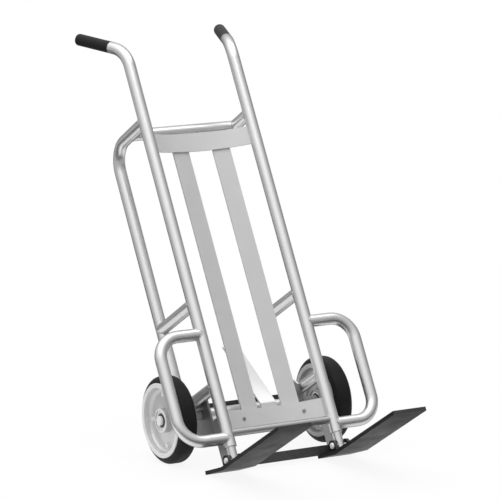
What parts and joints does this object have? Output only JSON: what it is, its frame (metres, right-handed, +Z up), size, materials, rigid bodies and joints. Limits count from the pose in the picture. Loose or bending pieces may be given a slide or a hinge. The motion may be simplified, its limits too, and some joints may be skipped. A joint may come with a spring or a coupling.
{
  "type": "hand truck with fork toe",
  "caption": "Two-wheeled tubular hand truck with a two-tine fork toe for small pallets, bowed back plates, wheel guards, rear loops and rubber grips.",
  "frame": {"origin": "on the floor, under the middle of the parked truck's box", "axes": "+X to the right seen from the fork side, +Y backwards from the fork to the wheels, +Z up; the truck is parked leaning back on its wheels and fork heels"},
  "size_m": [0.668, 1.157, 1.1618],
  "materials": {
    "satin_tube": "satin drawn tube",
    "flat_bar": "matt rolled flat bar",
    "rim_metal": "silver enamelled casting with a bright rolled edge",
    "hub_metal": "turned",
    "bright_steel": "zinc plated",
    "axle_cap": "bright pressed cap",
    "bearing_steel": "ground and polished",
    "fork_black": "black enamel",
    "black_bar": "black enamel",
    "tyre_rubber": "smooth solid rubber",
    "grip_rubber": "fine moulded grain",
    "seal_rubber": "smooth"
  },
  "bodies": {
    "frame": {"right_main_tube": "satin_tube", "left_main_tube": "satin_tube", "right_grip": "grip_rubber", "left_grip": "grip_rubber", "right_wheel_guard": "satin_tube", "left_wheel_guard": "satin_tube", "right_rear_loop": "satin_tube", "left_rear_loop": "satin_tube", "right_strut": "satin_tube", "left_strut": "satin_tube", "right_slat": "flat_bar", "left_slat": "flat_bar", "right_axle_plate": "flat_bar", "left_axle_plate": "flat_bar", "right_fork_tine": "fork_black", "left_fork_tine": "fork_black", "right_fork_peg": "bright_steel", "left_fork_peg": "bright_steel", "right_fork_upright": "flat_bar", "left_fork_upright": "flat_bar", "bearing_inner_rings": "bearing_steel", "axle_spacers": "bright_steel", "axle_washers": "bright_steel", "axle_caps": "axle_cap", "top_crossbar": "satin_tube", "top_plate": "flat_bar", "bottom_plate": "flat_bar", "bottom_rail": "satin_tube", "plate_screws": "bright_steel", "plate_nuts": "bright_steel", "foot_plate": "flat_bar", "axle_tube": "satin_tube", "tread_bar": "black_bar", "axle_shaft": "bright_steel", "fork_ears": "fork_black", "fork_bolts": "bright_steel", "fork_nuts": "bright_steel", "fork_tie_bar": "fork_black"},
    "left_wheel": {"left_tyre": "tyre_rubber", "left_outer_rim": "rim_metal", "left_inner_rim": "rim_metal", "left_hub": "hub_metal", "left_bearing_outer_rings": "bearing_steel", "left_bearing_balls": "bearing_steel", "left_bearing_seals": "seal_rubber", "left_rim_bolts": "bright_steel", "left_rim_nuts": "bright_steel"},
    "right_wheel": {"right_tyre": "tyre_rubber", "right_outer_rim": "rim_metal", "right_inner_rim": "rim_metal", "right_hub": "hub_metal", "right_bearing_outer_rings": "bearing_steel", "right_bearing_balls": "bearing_steel", "right_bearing_seals": "seal_rubber", "right_rim_bolts": "bright_steel", "right_rim_nuts": "bright_steel"}
  },
  "joints": [
    {"name": "left_wheel_spin", "type": "hinge", "parent": "frame", "child": "left_wheel", "pos_m": [-0.254, 0.00048, 0.125], "axis": [1, 0, 0], "continuous": true},
    {"name": "right_wheel_spin", "type": "hinge", "parent": "frame", "child": "right_wheel", "pos_m": [0.254, 0.00048, 0.125], "axis": [1, 0, 0], "continuous": true}
  ]
}
